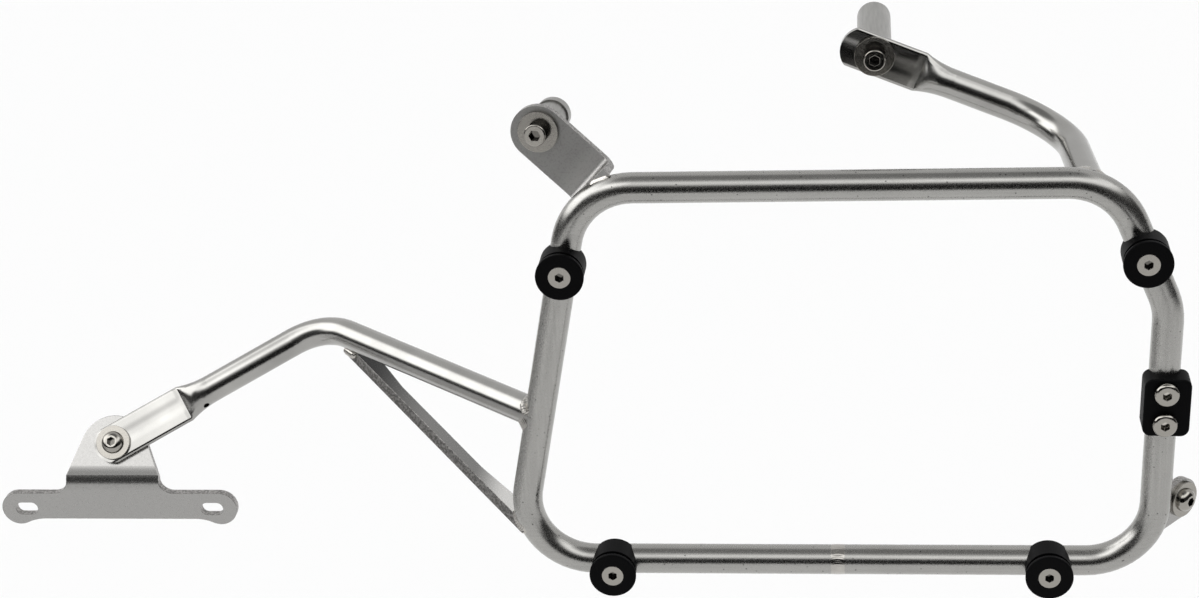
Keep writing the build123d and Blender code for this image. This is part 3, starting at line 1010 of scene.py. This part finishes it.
def fillet_stations(seam, guest, host, leg, step, crater=None):
    """Cross-sections of a fillet weld: its toe on the guest, its toe on the host and its root.

    The bead swells at its crater, where the welder let the puddle fill.
    """
    even, whole = evenly(seam, step)
    even = settled(even)
    count = len(even)
    frames = []
    for i, (_, own, other) in enumerate(even):
        tangent = (even[(i + 1) % count][0] - even[i - 1][0]).normalized()
        frames.append((tangent.cross(own).normalized(), tangent.cross(other).normalized()))
    up = sum(a.dot(other) for (a, _), (_, _, other) in zip(frames, even))
    out = sum(b.dot(own) for (_, b), (_, own, _) in zip(frames, even))
    stations = []
    for (point, own, other), (a, b) in zip(even, frames):
        size = leg * (1 + LEG_WAVER * noise.noise(point / WAVER_LENGTH))
        if crater is not None:
            away = (point - crater).length / CRATER_REACH
            size *= 1 + CRATER_SWELL * math.exp(-(away**2))
        toe = guest.find_nearest(point + a * math.copysign(size, up))[0] - own * TOE_SINK
        heel = host.find_nearest(point + b * math.copysign(size, out))[0] - other * TOE_SINK
        stations.append((toe, heel, point, (own + other).normalized()))
    return stations, whole


def ring_stations(sizes, step):
    """Cross-sections of the ring bead that closes the hoop, and the ring's length."""
    whole = 2 * math.pi * sizes.tube_radius
    count = round(whole / step)
    half = Vector((sizes.ring_half_width, 0, 0))
    stations = []
    for i in range(count):
        turn = 2 * math.pi * i / count
        out = Vector((0, math.sin(turn), math.cos(turn)))
        foot = BUTT_WELD * MM + out * (sizes.tube_radius - TOE_SINK)
        stations.append((foot + half, foot - half, foot + out * 2 * sizes.ring_crown, out))
    return stations, whole


def lay_bead(name, stations, whole, fullness, pitch, ripple, material):
    """A rippled bead over its cross-sections; its back lies inside the metal."""
    turns = max(1, round(whole / pitch))
    verts = []
    for i, (toe, heel, root, out) in enumerate(stations):
        crest = root.lerp((toe + heel) / 2, fullness)
        for j in range(BEAD_FACES + 1):
            t = j / BEAD_FACES
            point = toe * (1 - t) ** 2 + crest * 2 * t * (1 - t) + heel * t**2
            phase = turns * i / len(stations) - RIPPLE_CURL * 4 * t * (1 - t)
            lift = ripple * math.sin(math.pi * t)
            verts.append(point + out * lift * (2 * abs(math.sin(math.pi * phase)) - 1))
        verts.append(root - out * ROOT_SINK)
    ring = BEAD_FACES + 2
    rows = len(stations)
    faces = []
    for i in range(rows):
        for j in range(ring):
            a, b = i * ring + j, i * ring + (j + 1) % ring
            c, d = (i + 1) % rows * ring + (j + 1) % ring, (i + 1) % rows * ring + j
            faces.append((a, b, c, d))
    weld_piece(name, verts, faces, material)


def fill_crater(name, start, end, radius, pitch, ripple, material):
    """The puddle left where a weld ends: a short round lump with rings on it."""
    around, rows = 40, 36
    axis = (end - start).normalized()
    side = axis.orthogonal().normalized()
    other = axis.cross(side)
    length = (end - start).length
    verts = [start - axis * radius]
    for i in range(1, rows):
        along = -radius + (length + 2 * radius) * (1 - math.cos(math.pi * i / rows)) / 2
        beyond = max(-along, along - length, 0.0)
        girth = math.sqrt(radius**2 - beyond**2)
        girth += ripple * math.sin(2 * math.pi * along / pitch) * girth / radius
        for j in range(around):
            turn = 2 * math.pi * j / around
            out = side * math.cos(turn) + other * math.sin(turn)
            verts.append(start + axis * along + out * girth)
    verts.append(end + axis * radius)
    last = len(verts) - 1
    faces = []
    for j in range(around):
        after = (j + 1) % around
        faces.append((0, 1 + after, 1 + j))
        faces.append((last, last - around + j, last - around + after))
        for i in range(rows - 2):
            a, b = 1 + i * around + j, 1 + i * around + after
            faces.append((a, b, b + around, a + around))
    weld_piece(name, verts, faces, material)


def weld_piece(name, verts, faces, material):
    """Add one piece of weld metal to the rack."""
    mesh = bpy.data.meshes.new(name)
    mesh.from_pydata(verts, [], faces)
    shell = bmesh.new()
    shell.from_mesh(mesh)
    bmesh.ops.recalc_face_normals(shell, faces=shell.faces)
    shell.to_mesh(mesh)
    shell.free()
    mesh.polygons.foreach_set("use_smooth", [True] * len(mesh.polygons))
    mesh.materials.append(material)
    piece = bpy.data.objects.new(name, mesh)
    bpy.context.scene.collection.objects.link(piece)
    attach(piece, "root")


def flat_mesh(name, rows, material):
    """A sheet from rows of points."""
    width = len(rows[0])
    verts = [point for row in rows for point in row]
    faces = []
    for i in range(len(rows) - 1):
        for j in range(width - 1):
            k = i * width + j
            faces.append((k, k + 1, k + 1 + width, k + width))
    mesh = bpy.data.meshes.new(name)
    mesh.from_pydata(verts, [], faces)
    mesh.materials.append(material)
    sheet = bpy.data.objects.new(name, mesh)
    bpy.context.scene.collection.objects.link(sheet)
    return sheet


def lay_floor(studio):
    """White seamless paper, far larger than the view."""
    material, _, shader, _ = start_material("seamless_white_paper")
    shader.inputs["Base Color"].default_value = studio.floor_colour
    shader.inputs["Roughness"].default_value = PAPER_ROUGHNESS
    shader.inputs["Specular IOR Level"].default_value = 0.1
    height = cad_box[0].z - studio.floor_drop
    rows = [
        [(x, y, height) for x in (-PAPER_SIDE, PAPER_SIDE)] for y in (-PAPER_FRONT, PAPER_BACK)
    ]
    return flat_mesh("paper_floor", rows, material)


def stand_card(name, colour, corners, fade=None):
    """A felt card beside the rack, which only the polished metal shows; it may fade along Y."""
    material, tree, shader, place = start_material(name)
    if fade is not None:
        depth = add_node(tree, "ShaderNodeSeparateXYZ", inputs={"Vector": place}).outputs["Y"]
        solid = add_node(
            tree,
            "ShaderNodeMapRange",
            SMOOTH,
            {"Value": depth, "From Min": fade[0], "From Max": fade[1]},
        )
        connect(tree, shader, {"Alpha": solid.outputs["Result"]})
    shader.inputs["Base Color"].default_value = linear(colour)
    shader.inputs["Roughness"].default_value = 1.0
    shader.inputs["Specular IOR Level"].default_value = 0.0
    card = flat_mesh(name, corners, material)
    card.visible_camera = False
    card.visible_diffuse = False
    card.visible_shadow = False
    return card


def light_room(scene, studio):
    """A white room with a dim ceiling, and three soft boxes over a dark belt round the camera."""
    world = bpy.data.worlds.new("studio_room")
    world.use_nodes = True
    scene.world = world
    tree = world.node_tree
    way = add_node(tree, "ShaderNodeTexCoord").outputs["Generated"]
    axes = add_node(tree, "ShaderNodeSeparateXYZ", inputs={"Vector": way}).outputs
    back = add_node(tree, "ShaderNodeMath", TIMES, {0: axes["Y"], 1: -1.0})
    round_about = add_node(
        tree, "ShaderNodeMath", {"operation": "ARCTAN2"}, {0: axes["X"], 1: back.outputs["Value"]}
    ).outputs["Value"]
    rise = add_node(
        tree, "ShaderNodeMath", {"operation": "ARCSINE"}, {0: axes["Z"]}
    ).outputs["Value"]
    level = studio.room
    for own, share, *degrees in ROOM_ZONES.values():
        left, right, low, high, soft = (math.radians(angle) for angle in degrees)
        across = band(tree, round_about, left, right, soft)
        up = band(tree, rise, low, high, soft)
        inside = add_node(tree, "ShaderNodeMath", TIMES, {0: across, 1: up})
        level = add_node(
            tree,
            "ShaderNodeMix",
            VALUES,
            {"Factor": inside.outputs["Value"], "A": level, "B": own + share * studio.soft_box},
        ).outputs["Result"]
    seen = add_node(tree, "ShaderNodeLightPath").outputs["Is Camera Ray"]
    shown = add_node(tree, "ShaderNodeMix", VALUES, {"Factor": seen, "A": level, "B": 1.0})
    background = tree.nodes["Background"]
    background.inputs["Color"].default_value = (1.0, 1.0, 1.0, 1.0)
    connect(tree, background, {"Strength": shown.outputs["Result"]})


def set_camera(scene):
    """Place the camera where the photograph was taken from."""
    data = bpy.data.cameras.new("photo_camera")
    data.sensor_width = CAMERA_SENSOR
    data.sensor_fit = "HORIZONTAL"
    data.lens = CAMERA_LENS
    data.clip_start, data.clip_end = CAMERA_CLIP
    camera = bpy.data.objects.new("photo_camera", data)
    scene.collection.objects.link(camera)
    right = CAMERA_RIGHT.normalized()
    up = -CAMERA_DOWN.normalized()
    back = right.cross(up)
    turn = Matrix((right, up, back)).transposed().to_4x4()
    camera.matrix_world = Matrix.Translation(CAMERA_PLACE * MM) @ turn
    scene.camera = camera


class RACK_OT_dress_tubes(bpy.types.Operator):
    """Finish the hoop, the brace and the rear arm"""

    bl_idname = "rack.dress_tubes"
    bl_label = "Tubes"

    def execute(self, context):
        finish = context.scene.rack_finish
        hoop = electropolished_tube(
            "electropolished_stainless_hoop", finish.tube_roughness, finish, legs=HOOP_LEGS
        )
        dress(["hoop"], hoop)
        pressed = [
            ("brace_tube", "electropolished_stainless_brace", BRACE_FOOT, BRACE_KNEE, BRACE_REACH),
            ("rear_upper_arm", "electropolished_stainless_arm", ARM_FOOT, ARM_KNEE, ARM_REACH),
        ]
        for node, name, foot, knee, reach in pressed:
            flat = plate_normal(node)
            along = knee - foot
            along = (along - flat * along.dot(flat)).normalized()
            end = (foot * MM, along, flat, reach * MM)
            tube = electropolished_tube(name, finish.arm_roughness, finish, pressed=end)
            dress([node], tube)
        return {"FINISHED"}


class RACK_OT_dress_plates(bpy.types.Operator):
    """Finish the bracket, the gusset, the tab and the lug"""

    bl_idname = "rack.dress_plates"
    bl_label = "Plates"

    def execute(self, context):
        finish = context.scene.rack_finish
        plates = {
            "front_bracket": (finish.plate_roughness, BRACKET_FOLD, None),
            "brace_gusset": (finish.plate_roughness, None, GUSSET_SHADES),
            "front_upper_tab": (finish.tab_roughness, None, TAB_SHADES),
            "rear_lug": (finish.plate_roughness, None, None),
        }
        for node, (roughness, fold, shades) in plates.items():
            name = f"laser_cut_stainless_{node}"
            sheet = plate_normal(node)
            dress([node], laser_cut_plate(name, roughness, finish, sheet, fold, shades))
        return {"FINISHED"}


class RACK_OT_dress_fasteners(bpy.types.Operator):
    """Finish the bolts, screws, washers, nuts and bushes"""

    bl_idname = "rack.dress_fasteners"
    bl_label = "Fasteners"

    def execute(self, context):
        finish = context.scene.rack_finish
        gloss, dull = finish.fastener_roughness, finish.washer_roughness
        bright = cold_headed_stainless("cold_headed_stainless", finish, gloss, DARK_SOCKET)
        # The latch screws' sockets get painted light, the other sockets and the washers' hollows
        # painted shade
        washed = cold_headed_stainless("cold_headed_stainless_painted_bright_sockets", finish, gloss, BRIGHT_SOCKET)
        stamped = cold_headed_stainless("stamped_stainless", finish, dull, DARK_SOCKET)
        bolts = ["front_upper_bolt", "rear_upper_bolt", "bracket_bolt", "lug_screw"]
        dress(bolts + ["nuts", "puck_screws", "threaded_bushes"], bright)
        dress(["latch_screws"], washed)
        dress(["upper_washers", "lower_washers"], stamped)
        return {"FINISHED"}


class RACK_OT_dress_spacers(bpy.types.Operator):
    """Finish the two turned spacers"""

    bl_idname = "rack.dress_spacers"
    bl_label = "Spacers"

    def execute(self, context):
        turned = turned_steel("turned_steel", context.scene.rack_finish)
        dress(["front_upper_spacer", "rear_upper_spacer"], turned)
        return {"FINISHED"}


class RACK_OT_dress_mouldings(bpy.types.Operator):
    """Finish the four pucks and the latch block"""

    bl_idname = "rack.dress_mouldings"
    bl_label = "Mouldings"

    def execute(self, context):
        nylon = moulded_nylon("moulded_black_nylon", context.scene.rack_finish)
        pucks = ["puck_front_upper", "puck_rear_upper", "puck_front_lower", "puck_rear_lower"]
        dress(pucks + ["latch_block"], nylon)
        return {"FINISHED"}


class RACK_OT_lay_welds(bpy.types.Operator):
    """Lay the weld beads along the seams"""

    bl_idname = "rack.lay_welds"
    bl_label = "Welds"

    def execute(self, context):
        sizes = context.scene.rack_welds
        metal = weld_metal("pickled_weld_bead")
        pitch = sizes.ripple_pitch
        ripple = sizes.ripple
        step = pitch / RIPPLE_STEPS
        hoop = surface_of("hoop")
        tubes = [("brace_tube", BRACE_ROOT, BRACE_KNEE), ("rear_upper_arm", ARM_ROOT, ARM_KNEE)]
        for guest, root, knee in tubes:
            seam = tube_seam(guest, hoop, root, knee, sizes.tube_radius)
            crater = max((station[0] for station in seam), key=WELDER.dot)
            tube = surface_of(guest)
            stations, whole = fillet_stations(seam, tube, hoop, sizes.tube_leg, step, crater)
            name = f"weld_{guest}_to_hoop"
            lay_bead(name, stations, whole, TUBE_FULLNESS, pitch, ripple, metal)
        stations, whole = ring_stations(sizes, step)
        flat = ripple * RING_RIPPLE
        lay_bead("weld_hoop_butt", stations, whole, RING_FULLNESS, pitch, flat, metal)
        plates = [
            ("brace_gusset", "hoop", sizes.plate_leg),
            ("brace_gusset", "brace_tube", sizes.plate_leg),
            ("front_upper_tab", "hoop", sizes.fine_leg),
            ("rear_lug", "hoop", sizes.fine_leg),
        ]
        for guest, host, leg in plates:
            tube = surface_of(host)
            seam = plate_seam(guest, tube)
            stations, whole = fillet_stations(seam, surface_of(guest), tube, leg, step)
            name = f"weld_{guest}_to_{host}"
            fine = ripple * leg / sizes.tube_leg
            lay_bead(name, stations, whole, PLATE_FULLNESS, pitch, fine, metal)
        for name, (start, end, radius) in PUDDLES.items():
            start, end = Vector(start) * MM, Vector(end) * MM
            fill_crater(name, start, end, radius * MM, pitch, ripple, metal)
        return {"FINISHED"}


class RACK_OT_set_studio(bpy.types.Operator):
    """Lay the paper floor, light the studio and set the camera"""

    bl_idname = "rack.set_studio"
    bl_label = "Studio"

    def execute(self, context):
        studio = context.scene.rack_studio
        floor = lay_floor(studio)
        left, right, low, high = CARD_EDGES
        front = [[(x, -CARD_AWAY, z) for x in (left, right)] for z in (low, high)]
        near, far, bottom, top = FLAG_EDGES
        side = [[(-FLAG_AWAY, y, z) for y in (near, far)] for z in (bottom, top)]
        black = stand_card("black_felt_card", FELT_BLACK, front)
        grey = stand_card("grey_felt_card", FELT_GREY, side, FLAG_FADE)
        light_room(context.scene, studio)
        set_camera(context.scene)
        context.scene.view_settings.view_transform = "Standard"
        return {"FINISHED"}


STEPS = (
    RACK_OT_dress_tubes,
    RACK_OT_dress_plates,
    RACK_OT_dress_fasteners,
    RACK_OT_dress_spacers,
    RACK_OT_dress_mouldings,
    RACK_OT_lay_welds,
    RACK_OT_set_studio,
)
GROUPS = {"rack_finish": RackFinish, "rack_welds": RackWelds, "rack_studio": RackStudio}


class RACK_PT_sidebar(bpy.types.Panel):
    """The rack's steps and sizes"""

    bl_idname = "RACK_PT_sidebar"
    bl_label = "Side rack"
    bl_space_type = "VIEW_3D"
    bl_region_type = "UI"
    bl_category = "Side rack"

    def draw(self, context):
        for pointer, group in GROUPS.items():
            for name in group.__annotations__:
                self.layout.prop(getattr(context.scene, pointer), name)
        for step in STEPS:
            self.layout.operator(step.bl_idname)


CLASSES = (*GROUPS.values(), *STEPS, RACK_PT_sidebar)


def register():
    for item in CLASSES:
        bpy.utils.register_class(item)
    for name, group in GROUPS.items():
        setattr(bpy.types.Scene, name, bpy.props.PointerProperty(type=group))


def unregister():
    for name in GROUPS:
        delattr(bpy.types.Scene, name)
    for item in reversed(CLASSES):
        bpy.utils.unregister_class(item)


def main():
    register()
    bpy.ops.rack.dress_tubes()
    bpy.ops.rack.dress_plates()
    bpy.ops.rack.dress_fasteners()
    bpy.ops.rack.dress_spacers()
    bpy.ops.rack.dress_mouldings()
    bpy.ops.rack.lay_welds()
    bpy.ops.rack.set_studio()


if __name__ == "__main__":
    main()
